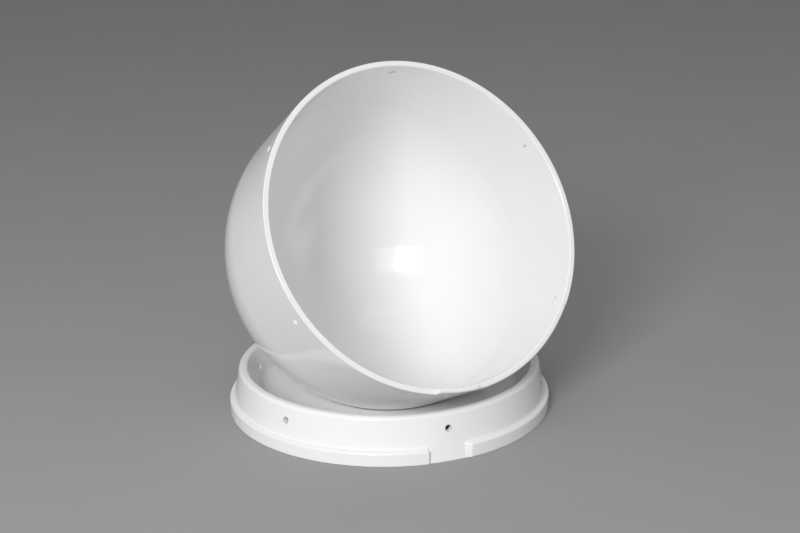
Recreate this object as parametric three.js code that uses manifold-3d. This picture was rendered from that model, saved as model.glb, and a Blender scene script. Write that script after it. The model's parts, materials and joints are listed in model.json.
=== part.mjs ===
// Two-piece radome in glass-fibre and gelcoat, opened: the dome stands tilted in its base.
// Millimetres, +Z up.

import * as THREE from 'three';
import { mergeVertices } from 'three/addons/utils/BufferGeometryUtils.js';
import Module from 'manifold-3d';

const wasm = await Module();
wasm.setup();

const gap = 0.3;                      // left between pieces that touch
const turnSteps = 48;                 // facets round a full turn
const barSteps = 16;                  // facets round a small bar or hole

// Dome: a hemisphere with a slightly flared skirt, closed by its rim
const rimRadius = 160;                // outside of the rim
const skirtFlare = 3.3;               // from the hemisphere's radius out to the rim's
const skirtDepth = 85.8;              // from the hemisphere's centre to the rim
const domeSkin = 4.5;
const rimWall = 5.5;
const rimHoleInset = 16;              // from the rim to the middle of a screw hole
const domeHoleAngle = 96.6;           // first screw hole, about the dome's own axis
const tabHeight = 9;                  // of the tab on the rim, which drops into the foot's notch
const tabShoulder = 1.4;              // rim left inside the tab
const tabPlay = 0.5;                  // between the tab's ends and the notch's

// Base: one skin that rises from a foot, turns over a lip and falls to a raised floor
const baseSkin = 5;
const footInset = 1.2;                // how far the closed dome's rim overhangs the foot
const footRim = 10.4;                 // width of the foot's underside
const stepHeight = 13.6;              // top of the foot, where the closed dome stands
const stepRounding = 2.2;
const stepFillet = 3.2;               // between the foot's top and the collar
const closeGap = 0.6;                 // between the closed dome's rim and the collar's foot
const collarDraft = 5.4;              // how far the collar leans in from foot to lip
const lipHeight = 44.2;
const foldGap = 0.8;                  // between the two skins, just under the lip
const lipOuterRounding = 4;
const lipInnerRounding = 3;
const floorHeight = 16.6;             // top of the floor
const floorThickness = 5;
const wallLean = 14.6;                // how far the inner wall leans in from lip to floor
const wallBlend = 14;                 // radius between the inner wall and the floor
const openingRadius = 65.6;           // central opening, whose edge carries the open dome
const openingEdge = 1.5;
const baseHoleAngle = -69.5;
const baseNotchSquareEnd = -20.6;     // along the foot, from the first screw hole
const baseNotchSlantStart = 15;       // its other end slants outwards, from the collar
const baseNotchSlantEnd = 21;         // to the foot's edge

// Screws that close the dome, and the tubes that keep the base's two skins apart
const screwCount = 6;
const screwHole = 6.6;                // clearance for M6
const spacerDiameter = 11;

// Backing ring under the floor, with threaded bushes for four M8 bolts
const ringMargin = 8;                 // from the opening to the ring
const ringWidth = 32;
const ringThickness = 5;
const bushCount = 4;
const bushAngle = 45;                 // first bush
const bushBody = 12;
const bushBore = 6.8;                 // M8 thread, minor diameter
const bushFlange = 17;
const bushFlangeThickness = 1.5;

// How the open dome stands: its mouth looks up and to one side
const mouthElevation = 29.7;
const mouthAzimuth = 29.6;            // turned from the front, towards the right

const domeRadius = rimRadius - skirtFlare;
const wallSlope = wallLean / (lipHeight - floorHeight);
const collarSlope = collarDraft / (lipHeight - stepHeight);
const underLip = lipHeight - baseSkin;
// The lip is as wide as the two skins that it joins and the gap between them
const lipWidth = foldGap + baseSkin * (1 - collarSlope - wallSlope + Math.hypot(1, wallSlope));
const collarFootRadius = rimRadius - rimWall - closeGap;
const collarTopRadius = collarFootRadius - collarDraft;
const lipInnerRadius = collarTopRadius - lipWidth;
const wallFootRadius = lipInnerRadius - wallLean;
const screwHeight = stepHeight + rimHoleInset;
const floorUnderside = floorHeight - floorThickness;
const footRadius = rimRadius - footInset;
const footInnerRadius = footRadius - footRim;
const ringInnerRadius = openingRadius + ringMargin;
const boltRadius = ringInnerRadius + ringWidth / 2;
const ringTop = floorUnderside - gap;
const ringUnderside = ringTop - ringThickness;
// The sphere rests on the rounded edge of the opening
const seatReach = domeRadius + gap + openingEdge;
const seatRise = Math.sqrt(seatReach ** 2 - (openingRadius + openingEdge) ** 2);
const domeCentreHeight = floorHeight - openingEdge + seatRise;

const radians = THREE.MathUtils.degToRad;

// Arc that rounds the corner of an outline; points run from the side of "before" to that of "after"
function roundedCorner(before, corner, after, radius) {
  if (!radius) return [corner.clone()];
  const back = before.clone().sub(corner).normalize();
  const ahead = after.clone().sub(corner).normalize();
  const half = Math.acos(THREE.MathUtils.clamp(back.dot(ahead), -1, 1)) / 2;
  const centre = back.clone().add(ahead).normalize().multiplyScalar(radius / Math.sin(half)).add(corner);
  const first = back.multiplyScalar(radius / Math.tan(half)).add(corner).sub(centre);
  const last = ahead.multiplyScalar(radius / Math.tan(half)).add(corner).sub(centre);
  const sweep = Math.atan2(first.cross(last), first.dot(last));
  const steps = Math.max(2, Math.ceil(Math.abs(sweep) / radians(30)));
  const points = [];
  for (let i = 0; i <= steps; i += 1) {
    const angle = first.angle() + sweep * i / steps;
    points.push(new THREE.Vector2(Math.cos(angle), Math.sin(angle)).multiplyScalar(radius).add(centre));
  }
  return points;
}

// Closed outline from corners given as [radius, height, rounding]
function outline(corners) {
  const spots = corners.map(([r, z]) => new THREE.Vector2(r, z));
  const points = corners.flatMap(([, , rounding], i) => {
    const before = spots.at(i - 1);
    const after = spots[(i + 1) % spots.length];
    return roundedCorner(before, spots[i], after, rounding);
  });
  points.push(points[0].clone());
  return points;
}

// A geometry as a closed solid, with its faces turned outwards
function solid(geometry) {
  const bare = geometry.index ? geometry.clone() : geometry;
  bare.deleteAttribute('normal');
  bare.deleteAttribute('uv');
  const welded = mergeVertices(bare, 1e-4);
  const place = welded.attributes.position.array;
  const faces = [];
  let volume = 0;
  for (let i = 0; i < welded.index.count; i += 3) {
    const [a, b, c] = welded.index.array.slice(i, i + 3);
    if (a === b || b === c || c === a) continue;
    faces.push(a, b, c);
    const [p, q, r] = [a, b, c].map((k) => new THREE.Vector3().fromArray(place, 3 * k));
    volume += p.dot(q.cross(r));
  }
  if (volume < 0) faces.reverse();
  return new wasm.Manifold(new wasm.Mesh({
    numProp: 3,
    vertProperties: Float32Array.from(place),
    triVerts: Uint32Array.from(faces),
  }));
}

function turned(points) {
  return solid(new THREE.LatheGeometry(points, turnSteps).rotateX(Math.PI / 2));
}

// Round bar that points outwards from the axis, at an angle in degrees
function radialBar(diameter, from, to, height, angle) {
  const bar = new THREE.CylinderGeometry(diameter / 2, diameter / 2, to - from, barSteps);
  bar.rotateZ(-Math.PI / 2).translate((from + to) / 2, 0, height).rotateZ(radians(angle));
  return solid(bar);
}

function uprightBar(diameter, bottom, top, radius, angle) {
  const bar = new THREE.CylinderGeometry(diameter / 2, diameter / 2, top - bottom, barSteps);
  bar.rotateX(Math.PI / 2).translate(radius, 0, (bottom + top) / 2).rotateZ(radians(angle));
  return solid(bar);
}

// Upright block with one square end and one end that slants outwards from the inner radius to the outer
function slantedBlock(inner, outer, low, high, angle, play) {
  const shape = new THREE.Shape();
  shape.moveTo(inner - 15, baseNotchSquareEnd + play);
  shape.lineTo(outer + 15, baseNotchSquareEnd + play);
  shape.lineTo(outer + 15, baseNotchSlantEnd - play);
  shape.lineTo(outer, baseNotchSlantEnd - play);
  shape.lineTo(inner, baseNotchSlantStart - play);
  shape.lineTo(inner - 15, baseNotchSlantStart - play);
  const block = new THREE.ExtrudeGeometry(shape, { depth: high - low, bevelEnabled: false });
  block.translate(0, 0, low).rotateZ(radians(angle));
  return solid(block);
}

function evenAngles(count, first) {
  return Array.from({ length: count }, (_, i) => first + 360 * i / count);
}

// Angle at which a line from the rim meets the sphere without a kink
function tangentAngle(radius, sphere) {
  return Math.atan2(-skirtDepth, radius) + Math.acos(sphere / Math.hypot(radius, skirtDepth));
}

function domeArc(radius, sphere, steps) {
  const first = tangentAngle(radius, sphere);
  const points = [];
  for (let i = 0; i <= steps; i += 1) {
    const angle = first + (Math.PI / 2 - first) * i / steps;
    const across = i === steps ? 0 : sphere * Math.cos(angle);
    points.push(new THREE.Vector2(across, skirtDepth + sphere * Math.sin(angle)));
  }
  return points;
}

// Dome with its rim at z = 0 and its crown up
function domeShell() {
  const innerRim = rimRadius - rimWall;
  const crown = new THREE.Vector2(0, skirtDepth + domeRadius);
  const outside = new THREE.Vector2(rimRadius, 0);
  const inside = new THREE.Vector2(innerRim, 0);
  const outer = domeArc(rimRadius, domeRadius, 14);
  const inner = domeArc(innerRim, domeRadius - domeSkin, 12);
  const points = [
    ...inner.toReversed(),
    ...roundedCorner(inner[0], inside, outside, 1.2),
    ...roundedCorner(inside, outside, outer[0], 1.6),
    ...outer,
  ];
  let shell = turned(points);
  for (const angle of evenAngles(screwCount, domeHoleAngle)) {
    const hole = radialBar(screwHole, innerRim - 15, rimRadius + 15, rimHoleInset, angle);
    shell = shell.subtract(hole);
  }
  return shell.add(rimTab(innerRim));
}

// Tab that stands on the rim; its inner face keeps clear of the collar when the dome is closed
function rimTab(innerRim) {
  const buried = 4;
  const ring = turned(outline([
    [innerRim + tabShoulder, buried, 0],
    [innerRim + tabShoulder, 0, 0],
    [innerRim + Math.max(tabShoulder, collarSlope * tabHeight) + 0.1, -tabHeight, 0.8],
    [rimRadius + 0.1, -tabHeight, 1.2],
    [rimRadius, 0, 0],
    [rimRadius - 0.5, buried, 0],
  ]));
  const tip = -tabHeight - 1;
  return ring.intersect(slantedBlock(innerRim, rimRadius, tip, buried + 1, domeHoleAngle, tabPlay));
}

// The two skins' hidden faces, which look at each other across the hollow of the collar
function hiddenWall(height) {
  return lipInnerRadius - wallSlope * (lipHeight - height) + baseSkin * Math.hypot(1, wallSlope);
}

function hiddenCollar(height) {
  const top = collarTopRadius - baseSkin + collarSlope * baseSkin;
  return THREE.MathUtils.mapLinear(height, 0, underLip, footInnerRadius, top);
}

function baseShell() {
  const body = turned(outline([
    [footInnerRadius, 0, 0],
    [collarFootRadius + collarSlope * stepHeight, 0, 0],
    [collarTopRadius, lipHeight, lipOuterRounding],
    [lipInnerRadius, lipHeight, lipInnerRounding],
    [wallFootRadius, floorHeight, wallBlend],
    [openingRadius, floorHeight, openingEdge],
    [openingRadius, floorUnderside, 0],
    [hiddenWall(floorUnderside), floorUnderside, wallBlend + baseSkin],
    [hiddenWall(underLip), underLip, 0],
    [hiddenCollar(underLip), underLip, 0],
  ]));
  const buried = collarFootRadius - baseSkin / 2;
  let foot = turned(outline([
    [buried, 0, 0],
    [footRadius, 0, 1],
    [footRadius, stepHeight, stepRounding],
    [collarFootRadius, stepHeight, stepFillet],
    [collarFootRadius - collarSlope * 6, stepHeight + 6, 0],
    [buried, stepHeight + 6, 0],
  ]));
  const notch = slantedBlock(collarFootRadius, footRadius, -1, stepHeight + 7, baseHoleAngle, 0);
  foot = foot.subtract(notch);
  let shell = body.add(foot);
  for (const angle of evenAngles(screwCount, baseHoleAngle)) {
    const hole = radialBar(screwHole, wallFootRadius - 10, rimRadius + 5, screwHeight, angle);
    shell = shell.subtract(hole);
  }
  return shell;
}

// Tubes round the screws, trimmed to the hollow between the base's two skins
function spacerTubes() {
  const low = screwHeight - spacerDiameter;
  const high = Math.min(screwHeight + spacerDiameter, underLip - gap);
  const space = turned(outline([
    [hiddenWall(low) + 2 * gap, low, 0],
    [hiddenCollar(low) - gap, low, 0],
    [hiddenCollar(high) - gap, high, 0],
    [hiddenWall(high) + 2 * gap, high, 0],
  ]));
  return evenAngles(screwCount, baseHoleAngle).map((angle) => {
    const bar = radialBar(spacerDiameter, wallFootRadius, rimRadius, screwHeight, angle);
    const bore = radialBar(screwHole, wallFootRadius - 5, rimRadius + 5, screwHeight, angle);
    return bar.subtract(bore).intersect(space);
  });
}

function backingRing() {
  let ring = turned(outline([
    [ringInnerRadius, ringUnderside, 0],
    [ringInnerRadius + ringWidth, ringUnderside, 0],
    [ringInnerRadius + ringWidth, ringTop, 0],
    [ringInnerRadius, ringTop, 0],
  ]));
  for (const angle of evenAngles(bushCount, bushAngle)) {
    ring = ring.subtract(uprightBar(bushBody + 2 * gap, 0, floorHeight, boltRadius, angle));
  }
  return ring;
}

function threadedBushes() {
  const flangeTop = ringUnderside - gap;
  const flangeUnderside = flangeTop - bushFlangeThickness;
  return evenAngles(bushCount, bushAngle).map((angle) => {
    const body = uprightBar(bushBody, flangeUnderside + 0.5, ringTop, boltRadius, angle);
    const flange = uprightBar(bushFlange, flangeUnderside, flangeTop, boltRadius, angle);
    const bore = uprightBar(bushBore, 0, floorHeight, boltRadius, angle);
    return body.add(flange).subtract(bore);
  });
}

function node(name, piece, colour, roughness, metalness) {
  const made = piece.getMesh();
  const geometry = new THREE.BufferGeometry();
  geometry.setAttribute('position', new THREE.BufferAttribute(made.vertProperties, 3));
  geometry.setIndex(new THREE.BufferAttribute(made.triVerts, 1));
  geometry.computeVertexNormals();
  const material = new THREE.MeshStandardMaterial({ color: colour, roughness, metalness });
  const mesh = new THREE.Mesh(geometry, material);
  mesh.name = name;
  return mesh;
}

const gelcoat = '#ebe9e5';
const zinc = '#b9bcc0';
const plainAluminium = '#a9acb0';
const nylon = '#2f3032';

const radome = new THREE.Group();

const base = new THREE.Group();
base.add(node('base_shell', baseShell(), gelcoat, 0.22, 0));
spacerTubes().forEach((piece, i) => base.add(node(`spacer_tube_${i + 1}`, piece, nylon, 0.55, 0)));
base.add(node('backing_ring', backingRing(), plainAluminium, 0.45, 1));
threadedBushes().forEach((piece, i) => base.add(node(`threaded_bush_${i + 1}`, piece, zinc, 0.35, 1)));
radome.add(base);

const domeStand = new THREE.Group();
domeStand.position.z = domeCentreHeight;
domeStand.rotation.z = radians(mouthAzimuth);
const domeTilt = new THREE.Group();
domeTilt.rotation.x = -radians(90 + mouthElevation);
const dome = node('dome_shell', domeShell(), gelcoat, 0.2, 0);
dome.position.z = -skirtDepth;
domeTilt.add(dome);
domeStand.add(domeTilt);
radome.add(domeStand);

// The origin goes to the middle of the whole object's outline, at the surface it stands on
const extent = new THREE.Box3().setFromObject(radome, true);
const middle = extent.getCenter(new THREE.Vector3());
radome.position.set(-middle.x, -middle.y, -extent.min.z);

export default radome;
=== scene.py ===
import json
import logging
import math
from dataclasses import dataclass, field
from enum import Enum

import bmesh
import bpy
import numpy as np
from mathutils import Matrix, Vector
from mathutils.bvhtree import BVHTree
from mathutils.interpolate import poly_3d_calc


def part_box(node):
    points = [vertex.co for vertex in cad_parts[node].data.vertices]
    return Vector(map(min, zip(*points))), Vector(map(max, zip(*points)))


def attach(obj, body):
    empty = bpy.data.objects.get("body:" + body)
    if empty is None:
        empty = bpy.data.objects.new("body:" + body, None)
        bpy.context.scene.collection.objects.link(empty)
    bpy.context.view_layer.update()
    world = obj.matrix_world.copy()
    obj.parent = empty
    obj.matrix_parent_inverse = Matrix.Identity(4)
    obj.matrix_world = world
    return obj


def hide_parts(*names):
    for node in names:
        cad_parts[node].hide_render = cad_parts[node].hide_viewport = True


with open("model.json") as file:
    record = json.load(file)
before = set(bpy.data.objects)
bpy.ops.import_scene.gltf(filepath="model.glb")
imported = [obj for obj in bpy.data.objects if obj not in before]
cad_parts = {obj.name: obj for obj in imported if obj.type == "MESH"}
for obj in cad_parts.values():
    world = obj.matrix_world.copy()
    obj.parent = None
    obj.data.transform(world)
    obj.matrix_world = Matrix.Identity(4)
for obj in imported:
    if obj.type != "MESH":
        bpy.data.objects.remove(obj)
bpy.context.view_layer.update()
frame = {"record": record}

MM = 0.001

log = logging.getLogger("radome")


# ---------------------------------------------------------------- colour and nodes


def linear(hex_code: str) -> tuple[float, float, float, float]:
    """Turn an sRGB hex colour into linear RGBA.

    Args:
        hex_code: Colour such as "#EDECEA".

    Returns:
        Red, green, blue and an alpha of 1.
    """
    shares = [int(hex_code[i:i + 2], 16) / 255 for i in (1, 3, 5)]
    red, green, blue = (s / 12.92 if s <= 0.04045 else ((s + 0.055) / 1.055) ** 2.4 for s in shares)
    return red, green, blue, 1.0


def add_node(tree: bpy.types.NodeTree, kind: str, inputs: dict | None = None, **settings) -> bpy.types.Node:
    """Add a node with its settings and its links.

    Args:
        tree: Node tree that takes the node.
        kind: Blender's name of the node type.
        inputs: Socket name or number to a value, or to the output socket it is linked from.
        **settings: Properties of the node itself.

    Returns:
        The new node.
    """
    made = tree.nodes.new(kind)
    for name, value in settings.items():
        setattr(made, name, value)
    for socket, value in (inputs or {}).items():
        if isinstance(value, bpy.types.NodeSocket):
            tree.links.new(value, made.inputs[socket])
        else:
            made.inputs[socket].default_value = value
    return made


def set_ramp(node: bpy.types.Node, stops: list[tuple[float, tuple]]) -> bpy.types.Node:
    """Give a colour ramp its stops.

    Args:
        node: The ramp.
        stops: Place from 0 to 1, and linear colour, of each stop.

    Returns:
        The same node.
    """
    band = node.color_ramp.elements
    while len(band) < len(stops):
        band.new(1.0)
    for element, (place, colour) in zip(band, stops):
        element.position = place
        element.color = colour
    return node


BLACK = (0.0, 0.0, 0.0, 1.0)
WHITE = (1.0, 1.0, 1.0, 1.0)


def blank_material(name: str) -> tuple[bpy.types.Material, bpy.types.NodeTree, bpy.types.NodeSocket]:
    """Start a material that has no nodes but the position on the piece.

    Args:
        name: Name of the material.

    Returns:
        The material, its node tree and the socket with the position.
    """
    material = bpy.data.materials.new(name)
    material.use_nodes = True
    tree = material.node_tree
    tree.nodes.clear()
    return material, tree, add_node(tree, "ShaderNodeTexCoord").outputs["Object"]


def per_metre(millimetres: float) -> float:
    """Texture scale whose pattern repeats about once in this many millimetres."""
    return 1 / (millimetres * MM)


# ---------------------------------------------------------------- finishes


class Metal(Enum):
    """Bare metals of the mast fixing, with their colour and roughness."""

    MILL_ALUMINIUM = ("#C9CBCD", 0.34)
    ZINC_PLATE = ("#BFC4CA", 0.27)


@dataclass(frozen=True)
class Gelcoat:
    """White polyester gelcoat, sprayed in a polished mould and backed by glass-fibre laminate.

    To the eye it is a clean white with a wet gloss. The surface lies a little uneven over the
    laminate, so reflections wobble, and a few pinholes and specks of dust sit in it.
    """

    name: str
    white: str = "#F6F6F7"
    shade: str = "#F1F1F2"            # where the coat lies thinner over the laminate
    speck: str = "#A9A49C"
    ior: float = 1.55                 # cured polyester
    roughness: float = 0.10
    patch_mm: float = 55.0            # size of the thicker and thinner areas
    ripple_mm: float = 38.0           # laminate print-through
    ripple_depth_mm: float = 0.030
    peel_mm: float = 3.2              # orange peel
    peel_depth_mm: float = 0.0012
    speck_spacing_mm: float = 26.0
    speck_mm: float = 0.55            # real pinholes are about 0.2 mm; drawn larger so that they show
    speck_share: float = 0.45         # of the cells, how many hold a speck

    def build(self) -> bpy.types.Material:
        """Make the material.

        Returns:
            A new material with this finish.
        """
        material, tree, place = blank_material(self.name)
        patches = add_node(tree, "ShaderNodeTexNoise", {
            "Vector": place, "Scale": per_metre(self.patch_mm), "Detail": 3.0, "Roughness": 0.5,
        })
        body = add_node(tree, "ShaderNodeMix", {
            0: patches.outputs["Fac"], 6: linear(self.shade), 7: linear(self.white),
        }, data_type="RGBA")
        colour = self._with_specks(tree, place, body.outputs[2])
        gloss = add_node(tree, "ShaderNodeMapRange", {
            "Value": patches.outputs["Fac"], "From Min": 0.3, "From Max": 0.7,
            "To Min": self.roughness * 0.85, "To Max": self.roughness * 1.2,
        })
        shader = add_node(tree, "ShaderNodeBsdfPrincipled", {
            "Base Color": colour, "Roughness": gloss.outputs["Result"], "IOR": self.ior,
            "Normal": self._uneven(tree, place),
        })
        add_node(tree, "ShaderNodeOutputMaterial", {"Surface": shader.outputs["BSDF"]})
        return material

    def _with_specks(self, tree: bpy.types.NodeTree, place: bpy.types.NodeSocket,
                     body: bpy.types.NodeSocket) -> bpy.types.NodeSocket:
        """Lay pinholes and dust over the body colour.

        Args:
            tree: Node tree of the material.
            place: Position on the piece.
            body: Colour without them.

        Returns:
            The colour with them.
        """
        cells = add_node(tree, "ShaderNodeTexVoronoi", {
            "Vector": place, "Scale": per_metre(self.speck_spacing_mm), "Randomness": 1.0,
        })
        reach = self.speck_mm / 2 / self.speck_spacing_mm
        dots = set_ramp(
            add_node(tree, "ShaderNodeValToRGB", {"Fac": cells.outputs["Distance"]}),
            [(reach * 0.6, WHITE), (reach, BLACK)],
        )
        few = add_node(tree, "ShaderNodeMath", {
            0: add_node(tree, "ShaderNodeSeparateColor", {"Color": cells.outputs["Color"]}).outputs["Red"],
            1: self.speck_share,
        }, operation="LESS_THAN")
        amount = add_node(tree, "ShaderNodeMath", {
            0: dots.outputs["Color"], 1: few.outputs["Value"],
        }, operation="MULTIPLY")
        mixed = add_node(tree, "ShaderNodeMix", {
            0: amount.outputs["Value"], 6: body, 7: linear(self.speck),
        }, data_type="RGBA")
        return mixed.outputs[2]

    def _uneven(self, tree: bpy.types.NodeTree, place: bpy.types.NodeSocket) -> bpy.types.NodeSocket:
        """Tilt the surface a little: long ripple first, then orange peel.

        Args:
            tree: Node tree of the material.
            place: Position on the piece.

        Returns:
            The normal to shade with.
        """
        ripple = add_node(tree, "ShaderNodeTexNoise", {
            "Vector": place, "Scale": per_metre(self.ripple_mm), "Detail": 1.0,
        })
        peel = add_node(tree, "ShaderNodeTexNoise", {
            "Vector": place, "Scale": per_metre(self.peel_mm), "Detail": 1.0,
        })
        wavy = add_node(tree, "ShaderNodeBump", {
            "Height": ripple.outputs["Fac"], "Strength": 1.0, "Distance": self.ripple_depth_mm * MM,
        })
        fine = add_node(tree, "ShaderNodeBump", {
            "Height": peel.outputs["Fac"], "Strength": 1.0, "Distance": self.peel_depth_mm * MM,
            "Normal": wavy.outputs["Normal"],
        })
        return fine.outputs["Normal"]


@dataclass(frozen=True)
class BareMetal:
    """Rolled aluminium plate or zinc-plated steel.

    To the eye it is a soft grey metal whose sheen runs in fine lines, with duller patches.
    """

    name: str
    metal: Metal
    line_mm: float = 0.8              # rolling and turning lines, drawn coarser than the real 0.1 mm
    patch_mm: float = 14.0
    stretch: float = 0.05             # along the lines

    def build(self) -> bpy.types.Material:
        """Make the material.

        Returns:
            A new material with this finish.
        """
        colour, roughness = self.metal.value
        material, tree, place = blank_material(self.name)
        stretched = add_node(tree, "ShaderNodeMapping", {"Vector": place, "Scale": (self.stretch, 1.0, 1.0)})
        lines = add_node(tree, "ShaderNodeTexNoise", {
            "Vector": stretched.outputs["Vector"], "Scale": per_metre(self.line_mm), "Detail": 2.0,
        })
        patches = add_node(tree, "ShaderNodeTexNoise", {
            "Vector": place, "Scale": per_metre(self.patch_mm), "Detail": 4.0,
        })
        dull = add_node(tree, "ShaderNodeMapRange", {
            "Value": patches.outputs["Fac"], "From Min": 0.3, "From Max": 0.7,
            "To Min": roughness * 0.8, "To Max": roughness * 1.4,
        })
        bump = add_node(tree, "ShaderNodeBump", {
            "Height": lines.outputs["Fac"], "Strength": 0.6, "Distance": 0.01 * MM,
        })
        shader = add_node(tree, "ShaderNodeBsdfPrincipled", {
            "Base Color": linear(colour), "Metallic": 1.0, "Roughness": dull.outputs["Result"],
            "Normal": bump.outputs["Normal"],
        })
        add_node(tree, "ShaderNodeOutputMaterial", {"Surface": shader.outputs["BSDF"]})
        return material


@dataclass(frozen=True)
class MouldedNylon:
    """Black polyamide tube, extruded and cut to length.

    To the eye it is a dull near-black with a faint waxy sheen and fine draw marks.
    """

    name: str
    colour: str = "#2B2C2E"
    ior: float = 1.53
    grain_mm: float = 1.1

    def build(self) -> bpy.types.Material:
        """Make the material.

        Returns:
            A new material with this finish.
        """
        material, tree, place = blank_material(self.name)
        grain = add_node(tree, "ShaderNodeTexNoise", {
            "Vector": place, "Scale": per_metre(self.grain_mm), "Detail": 3.0,
        })
        dull = add_node(tree, "ShaderNodeMapRange", {
            "Value": grain.outputs["Fac"], "From Min": 0.3, "From Max": 0.7, "To Min": 0.42, "To Max": 0.6,
        })
        bump = add_node(tree, "ShaderNodeBump", {
            "Height": grain.outputs["Fac"], "Strength": 0.5, "Distance": 0.02 * MM,
        })
        shader = add_node(tree, "ShaderNodeBsdfPrincipled", {
            "Base Color": linear(self.colour), "Roughness": dull.outputs["Result"], "IOR": self.ior,
            "Normal": bump.outputs["Normal"],
        })
        add_node(tree, "ShaderNodeOutputMaterial", {"Surface": shader.outputs["BSDF"]})
        return material


@dataclass(frozen=True)
class PaperSweep:
    """Matt pale grey studio paper.

    To the eye it is an even soft grey without any gloss.
    """

    name: str = "studio_paper"
    colour: str = "#A3A3A5"
    mottle: str = "#9E9EA0"
    patch_mm: float = 160.0

    def build(self) -> bpy.types.Material:
        """Make the material.

        Returns:
            A new material with this finish.
        """
        material, tree, place = blank_material(self.name)
        patches = add_node(tree, "ShaderNodeTexNoise", {
            "Vector": place, "Scale": per_metre(self.patch_mm), "Detail": 2.0,
        })
        body = add_node(tree, "ShaderNodeMix", {
            0: patches.outputs["Fac"], 6: linear(self.mottle), 7: linear(self.colour),
        }, data_type="RGBA")
        shader = add_node(tree, "ShaderNodeBsdfPrincipled", {
            "Base Color": body.outputs[2], "Roughness": 0.9, "Specular IOR Level": 0.2,
        })
        add_node(tree, "ShaderNodeOutputMaterial", {"Surface": shader.outputs["BSDF"]})
        return material


# ---------------------------------------------------------------- outlines and turned skins


HAIR = 0.01                           # millimetres; keeps points apart where a shape shrinks to nothing
SHORT_RUN = 0.8                       # millimetres; a straight run up to this long gets no more points
RUN_END = 0.35                        # millimetres from a run's end to its nearest point
CLOSEST_COLUMNS = 1 / 15              # degrees
ON_SKIN = 2e-6                        # metres


@dataclass(frozen=True)
class Corner:
    """Corner of an outline, in millimetres, with the radius that rounds it."""

    r: float
    z: float
    rounding: float = 0.0
    steps: int = 6


def rounded(corners: list[Corner], closed: bool = True, spacing: float = 4.0,
            counts: list[int] | None = None) -> tuple[np.ndarray, list[int]]:
    """Draw an outline with round corners and evenly spaced points on its straight runs.

    Each straight run also has a point close to either end, which keeps the shading flat there.

    Args:
        corners: Corners in order.
        closed: Whether the last corner joins the first.
        spacing: Widest distance between points on a straight run, in millimetres.
        counts: Points for each straight run, taken from another outline so that both match.

    Returns:
        The points, as rows of radius and height, and the number of points in each run.
    """
    spots = [np.array((c.r, c.z)) for c in corners]
    arcs: list[np.ndarray] = []
    last = len(corners) - 1
    for i, corner in enumerate(corners):
        if not corner.rounding or (not closed and i in (0, last)):
            arcs.append(spots[i][None, :])
            continue
        back = spots[i - 1] - spots[i]
        ahead = spots[(i + 1) % len(spots)] - spots[i]
        back /= np.linalg.norm(back)
        ahead /= np.linalg.norm(ahead)
        half = math.acos(np.clip(back @ ahead, -1, 1)) / 2
        middle = back + ahead
        centre = spots[i] + middle / np.linalg.norm(middle) * corner.rounding / math.sin(half)
        reach = corner.rounding / math.tan(half)
        first, final = spots[i] + back * reach - centre, spots[i] + ahead * reach - centre
        start = math.atan2(first[1], first[0])
        sweep = math.atan2(first[0] * final[1] - first[1] * final[0], first @ final)
        angles = start + sweep * np.linspace(0, 1, corner.steps + 1)
        arcs.append(centre + corner.rounding * np.column_stack((np.cos(angles), np.sin(angles))))
    points: list[np.ndarray] = []
    made: list[int] = []
    for i, arc in enumerate(arcs):
        points.append(arc)
        if not closed and i == last:
            break
        start, end = arc[-1], arcs[(i + 1) % len(arcs)][0]
        length = float(np.linalg.norm(end - start))
        count = counts[i] if counts else (0 if length < SHORT_RUN else 2 + int(length // spacing))
        made.append(count)
        if count:
            edge = min(RUN_END / max(length, 1e-6), 0.2)
            shares = np.linspace(edge, 1 - edge, count)[:, None]
            points.append(start + (end - start) * shares)
    return np.vstack(points), made


def turn_angles(step: float, finer: list[float]) -> np.ndarray:
    """Angles of the columns of a turned skin, in degrees.

    Args:
        step: Even step round the turn.
        finer: More angles, where the outline changes fast.

    Returns:
        All the angles in order, none closer than a fifteenth of a degree.
    """
    even = [
        angle for angle in np.arange(0, 360, step)
        if all(abs((angle - near + 180) % 360 - 180) > step / 3 for near in finer)
    ]
    every = sorted([angle % 360 for angle in finer] + even)
    following = every[1:] + [every[0] + 360]
    return np.array([a for a, b in zip(every, following) if b - a > CLOSEST_COLUMNS])


def spoke(angle: float) -> Vector:
    """Level unit vector at an angle in degrees."""
    turn = math.radians(angle)
    return Vector((math.cos(turn), math.sin(turn), 0))


def turned_faces(columns: int, length: int, closed: bool = True) -> list[tuple[int, int, int, int]]:
    """Faces between columns of points that stand side by side round a turn.

    Args:
        columns: How many columns there are.
        length: Points in each column.
        closed: Whether a column's last point joins its first.

    Returns:
        The faces, as four point numbers each.
    """
    faces = []
    for i in range(columns):
        j = (i + 1) % columns
        for k in range(length if closed else length - 1):
            m = (k + 1) % length
            faces.append((i * length + k, j * length + k, j * length + m, i * length + m))
    return faces


def small_turning(name: str, points: list[tuple], sides: int, crease: float,
                  angle: float = 0.0) -> bpy.types.Mesh:
    """Mesh of a small turned part whose flat faces meet in sharp edges.

    Args:
        name: Name of the mesh.
        points: Columns of points one after the other, in millimetres.
        sides: How many columns there are.
        crease: Degrees between two faces from which their edge is sharp.
        angle: Degrees by which the part is turned about the Z axis.

    Returns:
        The mesh, in metres.
    """
    mesh = bpy.data.meshes.new(name)
    mesh.from_pydata((np.array(points) * MM).tolist(), [], turned_faces(sides, len(points) // sides))
    work = bmesh.new()
    work.from_mesh(mesh)
    bmesh.ops.recalc_face_normals(work, faces=work.faces)
    work.transform(Matrix.Rotation(math.radians(angle), 4, "Z"))
    work.to_mesh(mesh)
    work.free()
    mesh.shade_smooth()
    mesh.set_sharp_from_angle(angle=math.radians(crease))
    return mesh


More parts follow.
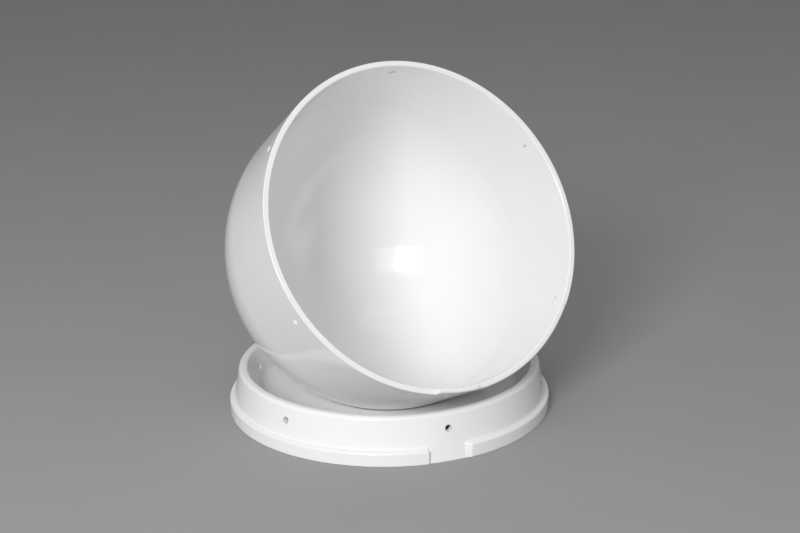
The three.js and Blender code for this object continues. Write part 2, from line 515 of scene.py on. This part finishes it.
def skin_mesh(name: str, columns: list[np.ndarray], angles: np.ndarray, capped: bool) -> bpy.types.Mesh:
    """Turn outlines into one closed skin round the Z axis.

    Args:
        name: Name of the mesh.
        columns: One outline for each angle, all with as many points, in millimetres.
        angles: Angles of the columns, in degrees.
        capped: Whether the outlines start and end on the axis instead of closing on themselves.

    Returns:
        The mesh, in metres.
    """
    rows = np.stack(columns)
    turn = np.radians(angles)[:, None]
    count, length = rows.shape[:2]
    x, y = rows[..., 0] * np.cos(turn), rows[..., 0] * np.sin(turn)
    points = np.stack((x, y, rows[..., 1]), axis=-1).reshape(-1, 3) * MM
    made = bpy.data.meshes.new(name)
    made.from_pydata(points.tolist(), [], turned_faces(count, length, closed=not capped))
    work = bmesh.new()
    work.from_mesh(made)
    bmesh.ops.remove_doubles(work, verts=work.verts, dist=1e-7)
    bmesh.ops.dissolve_degenerate(work, edges=work.edges, dist=1e-7)
    bmesh.ops.recalc_face_normals(work, faces=work.faces)
    work.to_mesh(made)
    work.free()
    made.shade_smooth()
    return made


def as_object(mesh: bpy.types.Mesh) -> bpy.types.Object:
    """Put a mesh in the scene under its own name."""
    made = bpy.data.objects.new(mesh.name, mesh)
    bpy.context.scene.collection.objects.link(made)
    return made


def drill_bar(diameter: float, start: Vector, end: Vector, sides: int = 40) -> bpy.types.Mesh:
    """Closed round bar between two points, used only to cut with.

    Args:
        diameter: In millimetres.
        start: One end, in metres.
        end: The other end, in metres.
        sides: Facets round the bar.

    Returns:
        The bar's mesh.
    """
    work = bmesh.new()
    bmesh.ops.create_cone(
        work, cap_ends=True, segments=sides, radius1=diameter / 2 * MM, radius2=diameter / 2 * MM,
        depth=(end - start).length,
    )
    aim = (end - start).to_track_quat("Z", "Y").to_matrix().to_4x4()
    work.transform(Matrix.Translation((start + end) / 2) @ aim)
    made = bpy.data.meshes.new("drill")
    work.to_mesh(made)
    work.free()
    return made


def joined(meshes: list[bpy.types.Mesh]) -> bpy.types.Object:
    """Join meshes that don't touch into one object, and remove the single ones."""
    work = bmesh.new()
    for mesh in meshes:
        work.from_mesh(mesh)
    made = bpy.data.meshes.new("drills")
    work.to_mesh(made)
    work.free()
    for mesh in meshes:
        bpy.data.meshes.remove(mesh)
    return as_object(made)


def cut_with(piece: bpy.types.Object, cutter: bpy.types.Object) -> None:
    """Cut holes in a turned skin, and keep the skin's own shading round them.

    A cut leaves long thin faces, which would show in the gloss, so every face that still lies on
    the skin takes its shading direction from the whole skin.

    Args:
        piece: The skin. Its mesh is changed.
        cutter: Closed solids to take away. It is removed.
    """
    whole = piece.data.copy()
    tool = piece.modifiers.new("holes", "BOOLEAN")
    tool.operation = "DIFFERENCE"
    tool.solver = "EXACT"
    tool.object = cutter
    graph = bpy.context.evaluated_depsgraph_get()
    mesh = bpy.data.meshes.new_from_object(piece.evaluated_get(graph))
    piece.modifiers.clear()
    old, piece.data = piece.data, mesh
    mesh.name = piece.name
    bpy.data.objects.remove(cutter)
    bpy.data.meshes.remove(old)
    keep_shading(mesh, whole)
    bpy.data.meshes.remove(whole)


def keep_shading(mesh: bpy.types.Mesh, whole: bpy.types.Mesh) -> None:
    """Give the faces that lie on a whole skin that skin's shading directions.

    Args:
        mesh: The cut mesh.
        whole: The same skin before it was cut.
    """
    points = [v.co.copy() for v in whole.vertices]
    faces = [tuple(p.vertices) for p in whole.polygons]
    tree = BVHTree.FromPolygons(points, faces)
    smooth = [v.normal.copy() for v in whole.vertices]
    directions: list[Vector] = [Vector((0, 0, 1))] * len(mesh.loops)
    seen: dict[tuple[int, int], Vector] = {}
    for face in mesh.polygons:
        _, flat, index, distance = tree.find_nearest(face.center)
        on_skin = distance < ON_SKIN and flat.dot(face.normal) > 0.9
        for loop in face.loop_indices:
            if not on_skin:
                directions[loop] = face.normal.copy()
                continue
            vertex = mesh.loops[loop].vertex_index
            key = (vertex, index)
            if key not in seen:
                ring = faces[index]
                shares = poly_3d_calc([points[i] for i in ring], mesh.vertices[vertex].co)
                blend = sum((smooth[i] * s for i, s in zip(ring, shares)), Vector())
                seen[key] = blend.normalized()
            directions[loop] = seen[key]
    mesh.shade_smooth()
    mesh.normals_split_custom_set([tuple(d) for d in directions])


def dress(piece: bpy.types.Object, material: bpy.types.Material, slot: str, body: str, *nodes: str) -> None:
    """Give a piece its material and tie it to the frame.

    Args:
        piece: The piece, in place.
        material: Its finish.
        slot: The record's slot for that finish. Not used.
        body: The body that carries it.
        *nodes: The CAD nodes that it stands for.
    """
    piece.data.materials.clear()
    piece.data.materials.append(material)
    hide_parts(*nodes)
    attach(piece, body)
    log.info("%s: %d vertices on body %s", piece.name, len(piece.data.vertices), body)


# ---------------------------------------------------------------- the radome's two mouldings


@dataclass(frozen=True)
class Key:
    """Stretch along a rim with one square end and one end that slants in plan.

    The foot's notch and the dome's tab share this shape. Along-rim places are in millimetres.
    """

    middle: float                     # angle of the screw hole that the places count from
    rim_radius: float
    square_end: float = -20.6
    slant_start: float = 15.0         # at the inner radius
    slant_end: float = 21.0           # at the outer radius
    softness: float = 0.45            # half the width over which the square end turns
    corner: float = 2.5               # rounding of the corner beside the square end

    def along(self, angle: float) -> float:
        """Place along the rim at an angle in degrees, from the screw hole."""
        turn = math.radians((angle - self.middle + 180) % 360 - 180)
        return self.rim_radius * math.sin(turn) if abs(turn) < 1 else 1e3

    def share(self, angle: float) -> float:
        """How much of the stretch's full width there is at an angle.

        Args:
            angle: In degrees, about the rim's axis.

        Returns:
            0 outside the stretch and 1 where it has its full width.
        """
        place = self.along(angle)
        if place > 0:
            slant = (place - self.slant_start) / (self.slant_end - self.slant_start)
            return 1 - min(max(slant, 0.0), 1.0)
        rise = min(max((place - self.square_end + self.softness) / (2 * self.softness), 0.0), 1.0)
        return rise * rise * (3 - 2 * rise)

    def corner_dip(self, angle: float, inwards: bool) -> float:
        """How far the worn corner beside the square end sinks at an angle, in millimetres.

        Args:
            angle: In degrees, about the rim's axis.
            inwards: Whether the material lies inside the stretch, as on a tab.

        Returns:
            The dip, from 0 to the size of the corner.
        """
        place = self.along(angle)
        if place > 0:
            return 0.0
        away = (place - self.square_end) * (1 if inwards else -1)
        into = min(max(1 - away / self.corner, 0.0), 1.0)
        return self.corner * (1 - math.sqrt(1 - into * into))

    def angles(self) -> list[float]:
        """Angles at which a skin needs a column to draw the stretch."""
        turns = self.square_end + self.softness * np.array((-2.2, -1, -0.6, -0.2, 0.2, 0.6, 1, 2.2))
        worn = self.corner * np.linspace(0.25, 1.0, 6)
        slope = np.linspace(self.slant_start - 0.8, self.slant_end + 0.8, 18)
        places = np.sort(np.concatenate((turns, self.square_end - worn, self.square_end + worn, slope)))
        return [self.middle + math.degrees(math.asin(p / self.rim_radius)) for p in places]


@dataclass
class Radome:
    """Sizes that the dome and the base share, in millimetres."""

    foot_radius: float
    axis: Vector                      # of the base, in metres, at the surface it stands on
    mouth: Vector                     # unit vector out of the open dome
    foot_inset: float = 1.2           # how far the closed dome's rim overhangs the foot
    gap: float = 0.3
    rim_wall: float = 5.5
    close_gap: float = 0.6
    hole_inset: float = 16.0
    hole_diameter: float = 6.6
    hole_count: int = 6

    @classmethod
    def from_frame(cls) -> "Radome":
        """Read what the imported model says."""
        low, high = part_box("base_shell")
        rim = next(m for m in frame["record"]["mounts"] if m["name"] == "dome_rim")
        return cls(
            foot_radius=(high.x - low.x) / 2 / MM,
            axis=Vector(((low.x + high.x) / 2, (low.y + high.y) / 2, low.z)),
            mouth=Vector(rim["axis"]).normalized(),
        )

    @property
    def rim_radius(self) -> float:
        """Outside of the dome's rim."""
        return self.foot_radius + self.foot_inset

    def hole_angles(self, first: float) -> list[float]:
        """Angles of the screw holes, in degrees, from the first one."""
        return [first + 360 * i / self.hole_count for i in range(self.hole_count)]


@dataclass
class Dome:
    """Hemisphere with a slightly flared skirt: one skin, its rim flat but for one tab."""

    shared: Radome
    seat: "BaseTray"
    skirt_flare: float = 3.3
    skirt_depth: float = 85.8
    skin: float = 4.5
    first_hole: float = 96.6
    tab_height: float = 9.0
    tab_shoulder: float = 1.4         # rim left inside the tab
    tab_play: float = 0.5             # between the tab's ends and the notch's
    tab_corner: float = 1.5
    tab_rise: float = 0.05            # share of its width at which the slanted end has its full height
    tab_tip: float = 0.5              # thickness of the slanted end at its tip
    tab_full: float = 3.0             # thickness from which its roundings and draft are whole
    tab_root_rounding: float = 0.2
    tab_edge_rounding: float = 0.8
    tab_edge_slack: float = 0.3       # by which the two roundings of its edge may overlap
    tab_draft: float = 0.28           # of the inner face
    tab_lean: float = 0.1             # of the outer face
    rim_inner_rounding: float = 1.2
    rim_outer_rounding: float = 1.6
    drill_inwards: float = 20.0       # reach of the screw holes' drills from the rim's radius
    drill_outwards: float = 15.0
    arc_steps: int = 60
    turn_step: float = 1.5
    finish: Gelcoat = field(default_factory=lambda: Gelcoat("gelcoat_dome"))

    @property
    def radius(self) -> float:
        """Outside of the hemisphere."""
        return self.shared.rim_radius - self.skirt_flare

    def tab(self) -> Key:
        """The tab on the rim, which drops into the foot's notch when the dome is closed."""
        notch = self.seat.notch()
        return Key(
            self.first_hole, self.shared.rim_radius, notch.square_end + self.tab_play,
            notch.slant_start - self.tab_play, notch.slant_end - self.tab_play, corner=self.tab_corner,
        )

    def placing(self) -> Matrix:
        """Where the dome stands: on the rounded edge of the base's opening, mouth outwards.

        Returns:
            Matrix from the dome's own frame, rim down at z = 0, to the row's frame.
        """
        edge = self.seat.opening_edge
        reach = self.radius + self.shared.gap + edge
        drop = math.sqrt(reach ** 2 - (self.seat.opening_radius + edge) ** 2)
        height = (self.seat.floor_height - edge + drop) * MM
        mouth = self.shared.mouth
        across = Vector((-mouth.y, mouth.x, 0)).normalized()
        upright = (-mouth).cross(across)
        turned = Matrix((across, upright, -mouth)).transposed().to_4x4()
        centre = self.shared.axis + Vector((0, 0, height))
        return Matrix.Translation(centre + mouth * self.skirt_depth * MM) @ turned

    def arc(self, rim: float, sphere: float) -> np.ndarray:
        """Outline from where the skirt meets the sphere without a kink, up to the crown.

        Args:
            rim: Radius of this face at the rim.
            sphere: Radius of the sphere.

        Returns:
            Points, as rows of radius and height.
        """
        depth = self.skirt_depth
        first = math.atan2(-depth, rim) + math.acos(sphere / math.hypot(rim, depth))
        angles = np.linspace(first, math.pi / 2, self.arc_steps + 1)
        across = sphere * np.cos(angles)
        across[-1] = 0
        return np.column_stack((across, depth + sphere * np.sin(angles)))

    def column(self, angle: float, counts: list[int] | None) -> tuple[np.ndarray, list[int]]:
        """Outline of the skin at one angle: down the inside, round the rim, up the outside.

        Args:
            angle: In degrees, about the dome's axis.
            counts: Points for each straight run, from the first outline.

        Returns:
            The outline and its counts.
        """
        rim = self.shared.rim_radius
        inner_rim = rim - self.shared.rim_wall
        outer, inner = self.arc(rim, self.radius), self.arc(inner_rim, self.radius - self.skin)
        tab = self.tab()
        share = tab.share(angle)
        slanted = tab.along(angle) > 0
        full = min(1.0, share / self.tab_rise) if slanted else share
        drop = max(HAIR, (self.tab_height - tab.corner_dip(angle, True)) * full)
        narrowest = inner_rim + self.tab_shoulder
        root = narrowest + (rim - self.tab_tip - narrowest) * (1 - share) * slanted
        room = min(1.0, (rim - root) / self.tab_full) * full
        inner_edge = self.tab_edge_rounding * room
        outer_edge = min(self.rim_outer_rounding, self.tab_edge_slack + rim - root - inner_edge)
        skirt, made = rounded([
            Corner(*inner[0]),
            Corner(inner_rim, 0, self.rim_inner_rounding),
            Corner(root, 0, 2 * HAIR + self.tab_root_rounding * room, 3),
            Corner(root + 2 * HAIR + self.tab_draft * room, -drop, 2 * HAIR + inner_edge),
            Corner(rim + self.tab_lean * full, -drop, outer_edge),
            Corner(*outer[0]),
        ], closed=False, counts=counts)
        return np.vstack((inner[:0:-1], skirt, outer[1:])), made

    def build(self) -> bpy.types.Object:
        """Turn the skin, drill it and stand it in the base.

        Returns:
            The dome.
        """
        angles = turn_angles(self.turn_step, self.tab().angles())
        counts = self.column(self.first_hole, None)[1]
        columns = [self.column(a, counts)[0] for a in angles]
        piece = as_object(skin_mesh("radome_dome", columns, angles, capped=True))
        lift = Vector((0, 0, self.shared.hole_inset * MM))
        reach = (-self.drill_inwards, self.drill_outwards)
        drills = []
        for angle in self.shared.hole_angles(self.first_hole):
            near, far = (spoke(angle) * (self.shared.rim_radius + r) * MM + lift for r in reach)
            drills.append(drill_bar(self.shared.hole_diameter, near, far))
        cut_with(piece, joined(drills))
        piece.data.transform(self.placing())
        dress(piece, self.finish.build(), "dome_gelcoat", "dome", "dome_shell")
        return piece


@dataclass
class BaseTray:
    """Base moulding: one skin that rises from a stepped foot, turns over a lip and falls to a floor.

    The foot has a notch with one square and one slanted end, under the first screw hole.
    """

    shared: Radome
    skin: float = 5.0
    foot_rim: float = 10.4            # width of the foot's underside
    foot_inner_edge: float = 0.5      # rounding
    foot_outer_edge: float = 0.9      # rounding
    notch_stub: float = 0.15          # what the notch leaves of the foot, outside the collar
    step_height: float = 13.6
    step_rounding: float = 2.2
    step_fillet: float = 3.2
    collar_draft: float = 5.4
    lip_height: float = 44.2
    fold_gap: float = 0.8
    lip_outer_rounding: float = 4.0
    lip_inner_rounding: float = 3.0
    floor_height: float = 16.6
    floor_thickness: float = 5.0
    wall_lean: float = 14.6
    wall_blend: float = 14.0
    opening_radius: float = 65.6
    opening_edge: float = 1.5
    opening_lower_edge: float = 0.4
    drill_inwards: float = 12.0       # reach of the drills inside the inner wall's foot
    drill_outwards: float = 8.0       # and outside the dome's rim
    first_hole: float = -69.5
    turn_step: float = 1.5
    finish: Gelcoat = field(default_factory=lambda: Gelcoat("gelcoat_base"))

    def __post_init__(self) -> None:
        """Work out the sizes that follow from the others."""
        self.wall_slope = self.wall_lean / (self.lip_height - self.floor_height)
        self.collar_slope = self.collar_draft / (self.lip_height - self.step_height)
        self.under_lip = self.lip_height - self.skin
        folds = 1 - self.collar_slope - self.wall_slope + math.hypot(1, self.wall_slope)
        self.lip_width = self.fold_gap + self.skin * folds
        self.collar_foot = self.shared.rim_radius - self.shared.rim_wall - self.shared.close_gap
        self.collar_top = self.collar_foot - self.collar_draft
        self.lip_inner = self.collar_top - self.lip_width
        self.wall_foot = self.lip_inner - self.wall_lean
        self.foot_inner = self.shared.foot_radius - self.foot_rim
        self.floor_underside = self.floor_height - self.floor_thickness
        self.screw_height = self.step_height + self.shared.hole_inset

    def notch(self) -> Key:
        """The notch in the foot, counted from the first screw hole."""
        return Key(self.first_hole, self.shared.foot_radius)

    def collar(self, height: float) -> float:
        """Radius of the collar's outside at a height."""
        return self.collar_foot + self.collar_slope * (self.step_height - height)

    def hidden_wall(self, height: float) -> float:
        """Radius of the hidden face of the inner wall at a height."""
        lean = self.wall_slope * (self.lip_height - height)
        return self.lip_inner - lean + self.skin * math.hypot(1, self.wall_slope)

    def hidden_collar(self, height: float) -> float:
        """Radius of the hidden face of the collar at a height."""
        top = self.collar_top - self.skin + self.collar_slope * self.skin
        return self.foot_inner + (top - self.foot_inner) * height / self.under_lip

    def column(self, angle: float, counts: list[int] | None) -> tuple[np.ndarray, list[int]]:
        """Outline of the skin at one angle.

        Where the notch takes the foot away, the foot draws back to the collar over its whole
        height, and its roundings shrink with it.

        Args:
            angle: In degrees, about the base's axis.
            counts: Points for each straight run, from the first outline.

        Returns:
            The outline and its counts.
        """
        notch = self.notch()
        left = 1 - notch.share(angle)
        step = self.step_height - notch.corner_dip(angle, False)
        low_stub, top_stub = (self.collar(height) + self.notch_stub for height in (0, step))
        low_rim = low_stub + (self.shared.foot_radius - low_stub) * left
        top_rim = top_stub + (self.shared.foot_radius - top_stub) * left
        room = min(1.0, (top_rim - self.collar(step)) / (self.shared.foot_radius - self.collar_foot))
        return rounded([
            Corner(self.foot_inner, 0, self.foot_inner_edge, 3),
            Corner(low_rim, 0, self.foot_outer_edge * room, 4),
            Corner(top_rim, step, self.step_rounding * room, 8),
            Corner(self.collar(step), step, self.step_fillet * room, 8),
            Corner(self.collar_top, self.lip_height, self.lip_outer_rounding, 12),
            Corner(self.lip_inner, self.lip_height, self.lip_inner_rounding, 10),
            Corner(self.wall_foot, self.floor_height, self.wall_blend, 14),
            Corner(self.opening_radius, self.floor_height, self.opening_edge, 8),
            Corner(self.opening_radius, self.floor_underside, self.opening_lower_edge, 3),
            Corner(self.hidden_wall(self.floor_underside), self.floor_underside,
                   self.wall_blend + self.skin, 10),
            Corner(self.hidden_wall(self.under_lip), self.under_lip),
            Corner(self.hidden_collar(self.under_lip), self.under_lip),
        ], counts=counts)

    def build(self) -> bpy.types.Object:
        """Turn the skin, drill it and set it down.

        Returns:
            The base.
        """
        angles = turn_angles(self.turn_step, self.notch().angles())
        counts = self.column(self.first_hole + 180, None)[1]
        columns = [self.column(a, counts)[0] for a in angles]
        piece = as_object(skin_mesh("radome_base", columns, angles, capped=False))
        lift = Vector((0, 0, self.screw_height * MM))
        reach = (self.wall_foot - self.drill_inwards, self.shared.rim_radius + self.drill_outwards)
        drills = []
        for angle in self.shared.hole_angles(self.first_hole):
            near, far = (spoke(angle) * r * MM + lift for r in reach)
            drills.append(drill_bar(self.shared.hole_diameter, near, far))
        cut_with(piece, joined(drills))
        piece.data.transform(Matrix.Translation(self.shared.axis))
        dress(piece, self.finish.build(), "base_gelcoat", "base", "base_shell")
        return piece


# ---------------------------------------------------------------- inserts inside the base


@dataclass
class SpacerTubes:
    """Nylon tubes round the screw holes, cut to the hollow between the base's two skins."""

    tray: BaseTray
    diameter: float = 11.0
    edge: float = 0.4                 # broken edges
    crease: float = 30.0
    sides: int = 40
    finish: MouldedNylon = field(default_factory=lambda: MouldedNylon("black_nylon"))

    def tube(self, name: str, angle: float) -> bpy.types.Mesh:
        """One tube, its ends cut to the slopes of both skins and broken at their edges.

        Args:
            name: Name of the mesh.
            angle: Of its screw hole, in degrees.

        Returns:
            The mesh, about the base's axis, in metres.
        """
        gap, height = self.tray.shared.gap, self.tray.screw_height
        bore, outside = self.tray.shared.hole_diameter / 2, self.diameter / 2
        edge = self.edge
        rings = [
            (bore, 0, edge), (bore + edge, 0, 0), (outside - edge, 0, 0), (outside, 0, edge),
            (outside, 1, edge), (outside - edge, 1, 0), (bore + edge, 1, 0), (bore, 1, edge),
        ]
        points = []
        for i in range(self.sides):
            turn = 2 * math.pi * i / self.sides
            for radius, far, inset in rings:
                across, up = radius * math.cos(turn), height + radius * math.sin(turn)
                start = self.tray.hidden_wall(up) + 2 * gap
                end = self.tray.hidden_collar(up) - gap
                reach = math.sqrt((end if far else start) ** 2 - across ** 2)
                points.append((reach - inset if far else reach + inset, across, up))
        return small_turning(name, points, self.sides, self.crease, angle)

    def build(self) -> list[bpy.types.Object]:
        """Make the tubes, one round each screw hole.

        Returns:
            The tubes.
        """
        material = self.finish.build()
        made = []
        for i, angle in enumerate(self.tray.shared.hole_angles(self.tray.first_hole)):
            piece = as_object(self.tube(f"spacer_nylon_{i + 1}", angle))
            piece.data.transform(Matrix.Translation(self.tray.shared.axis))
            dress(piece, material, "spacer_nylon", "base", f"spacer_tube_{i + 1}")
            made.append(piece)
        return made


@dataclass
class MastFixing:
    """Aluminium ring under the floor with four flanged M8 bushes pressed into it."""

    tray: BaseTray
    ring_margin: float = 8.0
    ring_width: float = 32.0
    ring_thickness: float = 5.0
    bush_count: int = 4
    first_bush: float = 45.0
    bush_body: float = 12.0
    bush_flange: float = 17.0
    flange_thickness: float = 1.5
    thread_major: float = 8.0
    thread_minor: float = 6.8
    thread_pitch: float = 1.25
    thread_rows: int = 8              # of points in each turn of the thread
    thread_lead_in: float = 0.7
    countersink: float = 0.1
    flange_edge: float = 0.2
    chamfer: float = 0.5
    crease: float = 32.0
    sides: int = 48
    plate: BareMetal = field(default_factory=lambda: BareMetal("mill_aluminium", Metal.MILL_ALUMINIUM))
    plating: BareMetal = field(default_factory=lambda: BareMetal("zinc_plate", Metal.ZINC_PLATE))

    def __post_init__(self) -> None:
        """Work out the sizes that follow from the others."""
        self.gap = self.tray.shared.gap
        self.ring_inner = self.tray.opening_radius + self.ring_margin
        self.bolt_radius = self.ring_inner + self.ring_width / 2
        self.ring_top = self.tray.floor_underside - self.gap
        self.ring_underside = self.ring_top - self.ring_thickness

    def bush_angles(self) -> list[float]:
        """Angles of the bushes, in degrees."""
        return [self.first_bush + 360 * i / self.bush_count for i in range(self.bush_count)]

    def spot(self, angle: float) -> Vector:
        """Place of a bush about the base's axis, in metres."""
        return spoke(angle) * self.bolt_radius * MM

    def build_ring(self) -> bpy.types.Object:
        """Turn the ring with broken edges and bore it for the bushes.

        Returns:
            The ring.
        """
        outer = self.ring_inner + self.ring_width
        outlined, _ = rounded([
            Corner(self.ring_inner, self.ring_underside, self.chamfer, 2),
            Corner(outer, self.ring_underside, self.chamfer, 2),
            Corner(outer, self.ring_top, self.chamfer, 2),
            Corner(self.ring_inner, self.ring_top, self.chamfer, 2),
        ])
        angles = turn_angles(3.0, [])
        ring = as_object(skin_mesh("mast_ring", [outlined] * len(angles), angles, capped=False))
        drills = []
        for angle in self.bush_angles():
            low, high = (self.spot(angle) + Vector((0, 0, z * MM)) for z in (0, self.tray.floor_height))
            drills.append(drill_bar(self.bush_body + 2 * self.gap, low, high, self.sides))
        cut_with(ring, joined(drills))
        ring.data.transform(Matrix.Translation(self.tray.shared.axis))
        dress(ring, self.plate.build(), "backing_plate", "base", "backing_ring")
        return ring

    def bush_mesh(self, name: str) -> bpy.types.Mesh:
        """One bush with its thread cut as a real helix.

        Args:
            name: Name of the mesh.

        Returns:
            The mesh, about its own axis, in metres.
        """
        flange_top = self.ring_underside - self.gap
        low = flange_top - self.flange_thickness
        high = self.ring_top
        edge, minor, major = self.chamfer, self.thread_minor / 2, self.thread_major / 2
        body, flange = self.bush_body / 2, self.bush_flange / 2
        mouth, worn = major + self.countersink, self.flange_edge
        outside = [
            (mouth, low), (flange - edge, low), (flange, low + edge), (flange, flange_top - worn),
            (flange - worn, flange_top), (body, flange_top), (body, high - edge), (body - edge, high),
            (mouth, high),
        ]
        rows = int((high - low) / self.thread_pitch * self.thread_rows)
        heights = np.linspace(high - self.thread_lead_in, low + self.thread_lead_in, rows)
        points = []
        for i in range(self.sides):
            turn = 2 * math.pi * i / self.sides
            column = list(outside)
            for height in heights:
                phase = (height / self.thread_pitch - i / self.sides) % 1
                ridge = abs(2 * phase - 1)
                column.append((minor + (major - minor) * ridge, height))
            points += [(r * math.cos(turn), r * math.sin(turn), z) for r, z in column]
        return small_turning(name, points, self.sides, self.crease)

    def build_bushes(self) -> list[bpy.types.Object]:
        """Make the bushes and press them into the ring.

        Returns:
            The bushes.
        """
        material = self.plating.build()
        made = []
        for i, angle in enumerate(self.bush_angles()):
            piece = as_object(self.bush_mesh(f"mast_bush_{i + 1}"))
            piece.data.transform(Matrix.Translation(self.tray.shared.axis + self.spot(angle)))
            dress(piece, material, "bush_zinc", "base", f"threaded_bush_{i + 1}")
            made.append(piece)
        return made


# ---------------------------------------------------------------- studio


@dataclass(frozen=True)
class SoftLight:
    """Square softbox that shines at the radome."""

    name: str
    azimuth: float                    # degrees; 0 stands in front, at -Y, and grows towards +X
    elevation: float
    distance: float                   # metres
    size: float
    power: float
    colour: str = "#FFFFFF"

    def build(self, aim: Vector) -> bpy.types.Object:
        """Hang the light.

        Args:
            aim: Point that it shines at.

        Returns:
            The light.
        """
        turn, rise = math.radians(self.azimuth), math.radians(self.elevation)
        away = Vector((math.sin(turn) * math.cos(rise), -math.cos(turn) * math.cos(rise), math.sin(rise)))
        data = bpy.data.lights.new(self.name, "AREA")
        data.shape = "SQUARE"
        data.size = self.size
        data.energy = self.power
        data.color = linear(self.colour)[:3]
        made = bpy.data.objects.new(self.name, data)
        made.location = aim + away * self.distance
        made.rotation_euler = away.to_track_quat("Z", "Y").to_euler()
        bpy.context.scene.collection.objects.link(made)
        return made


@dataclass
class Studio:
    """Floor, lights and camera round the radome."""

    axis: Vector
    camera_offset: tuple[float, float, float] = (0.0, -1.3540, 0.5610)
    yaw: float = 0.521
    pitch: float = -17.282
    roll: float = -0.826
    lens: float = 65.4
    sensor_width: float = 36.0
    aim_height: float = 0.15          # metres above the floor, where the lights point
    floor_size: float = 14.0
    paper: PaperSweep = field(default_factory=PaperSweep)
    lights: tuple[SoftLight, ...] = (
        SoftLight("key", -18, 25, 2.4, 0.72, 38),
        SoftLight("front", -2, 26, 4.5, 1.6, 12),
        SoftLight("top", 0, 85, 3.0, 2.0, 10),
    )
    sky: str = "#FFFFFF"
    sky_strength: float = 0.335

    def build_camera(self) -> bpy.types.Object:
        """Set up the camera in front of the base, looking a little down.

        Returns:
            The camera.
        """
        yaw, pitch, roll = (math.radians(a) for a in (self.yaw, self.pitch, self.roll))
        ahead = Vector((math.sin(yaw) * math.cos(pitch), math.cos(yaw) * math.cos(pitch), math.sin(pitch)))
        right = ahead.cross(Vector((0, 0, 1))).normalized()
        up = right.cross(ahead)
        level = right * math.cos(roll) + up * math.sin(roll)
        upright = up * math.cos(roll) - right * math.sin(roll)
        data = bpy.data.cameras.new("camera")
        data.lens = self.lens
        data.sensor_width = self.sensor_width
        made = bpy.data.objects.new("camera", data)
        place = Matrix.Translation(self.axis + Vector(self.camera_offset))
        made.matrix_world = place @ Matrix((level, upright, -ahead)).transposed().to_4x4()
        bpy.context.scene.collection.objects.link(made)
        bpy.context.scene.camera = made
        return made

    def build_floor(self) -> bpy.types.Object:
        """Roll out the paper under the object.

        Returns:
            The floor.
        """
        half = self.floor_size / 2
        mesh = bpy.data.meshes.new("floor")
        corners = [(-half, -half, 0), (half, -half, 0), (half, half, 0), (-half, half, 0)]
        mesh.from_pydata(corners, [], [(0, 1, 2, 3)])
        made = as_object(mesh)
        mesh.materials.append(self.paper.build())
        return made

    def build_sky(self) -> None:
        """Light everything softly from all round, as the walls of the room do."""
        world = bpy.data.worlds.new("room")
        bpy.context.scene.world = world
        world.use_nodes = True
        tree = world.node_tree
        tree.nodes.clear()
        glow = add_node(tree, "ShaderNodeBackground", {
            "Color": linear(self.sky), "Strength": self.sky_strength,
        })
        add_node(tree, "ShaderNodeOutputWorld", {"Surface": glow.outputs["Background"]})

    def build(self) -> None:
        """Set up the whole studio and the film's response."""
        self.build_camera()
        self.build_floor()
        self.build_sky()
        aim = self.axis + Vector((0, 0, self.aim_height))
        for light in self.lights:
            light.build(aim)
        settings = bpy.context.scene.view_settings
        settings.view_transform = "Standard"
        settings.look = "None"


def main() -> None:
    """Build the radome piece by piece, then the studio round it."""
    logging.basicConfig(level=logging.INFO, format="%(name)s: %(message)s")
    shared = Radome.from_frame()
    studio = Studio(shared.axis)
    studio.build()
    tray = BaseTray(shared)
    tray.build()
    Dome(shared, tray).build()
    SpacerTubes(tray).build()
    fixing = MastFixing(tray)
    fixing.build_ring()
    fixing.build_bushes()


if __name__ == "__main__":
    main()
